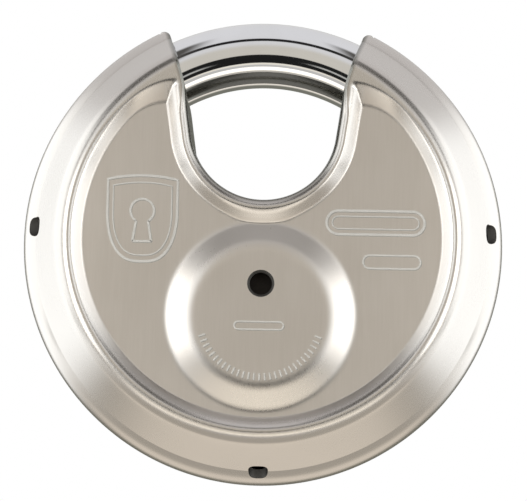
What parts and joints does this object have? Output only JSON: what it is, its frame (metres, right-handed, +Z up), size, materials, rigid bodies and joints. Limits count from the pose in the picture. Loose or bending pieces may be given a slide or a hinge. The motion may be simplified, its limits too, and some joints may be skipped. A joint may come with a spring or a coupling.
{
  "type": "disc padlock",
  "caption": "Round pressed-steel disc padlock with a notch at the top, closed by a curved bar shackle that a key turns out of the body.",
  "frame": {"origin": "the point under the crown of the closed shackle where a staple bears, in the body's mid-plane, 23.45 mm above the disc's axis", "axes": "+Z up when the lock hangs, +Y along the disc's axis out of the keyway face, +X to the right of a viewer who looks at the plain rear face"},
  "size_m": [0.07, 0.0246, 0.0679],
  "materials": {
    "brushed_stainless": "satin, vertical brushing on the panel, tumbled on the rim",
    "polished_shackle": "polished hardened steel",
    "cast_block": "as cast zinc alloy",
    "brass": "machined",
    "nickel_brass": "nickel plated, machined",
    "spring_steel": "drawn wire and strip",
    "hardened_steel": "dark, as hardened",
    "sintered_steel": "matt sintered"
  },
  "bodies": {
    "case": {"rear_shell": "brushed_stainless", "front_shell": "brushed_stainless", "left_guide_block": "cast_block", "right_guide_block": "cast_block", "shackle_stop_pin": "hardened_steel", "cylinder_housing": "brass", "chamber_cover": "spring_steel", "anti_drill_plate": "hardened_steel", "plate_screw_1": "spring_steel", "plate_screw_2": "spring_steel", "driver_pin_1": "nickel_brass", "driver_pin_2": "nickel_brass", "driver_pin_3": "nickel_brass", "driver_pin_4": "nickel_brass", "pin_spring_1": "spring_steel", "pin_spring_2": "spring_steel", "pin_spring_3": "spring_steel", "pin_spring_4": "spring_steel"},
    "shackle": {"shackle": "polished_shackle"},
    "plug": {"plug": "nickel_brass", "driver_cam": "sintered_steel", "cam_clip": "spring_steel", "key_pin_1": "brass", "key_pin_2": "brass", "key_pin_3": "brass", "key_pin_4": "brass"}
  },
  "joints": [
    {"name": "shackle_turn", "type": "hinge", "parent": "case", "child": "shackle", "pos_m": [0, 0, -0.02345], "axis": [0, -1, 0], "range_deg": [0, 62]},
    {"name": "plug_turn", "type": "hinge", "parent": "case", "child": "plug", "pos_m": [0, 0, -0.03015], "axis": [0, -1, 0], "range_deg": [0, 83.96]}
  ],
  "couplings": [
    {"joint": "plug_turn", "follows": "shackle_turn", "ratio": 1.3526}
  ]
}
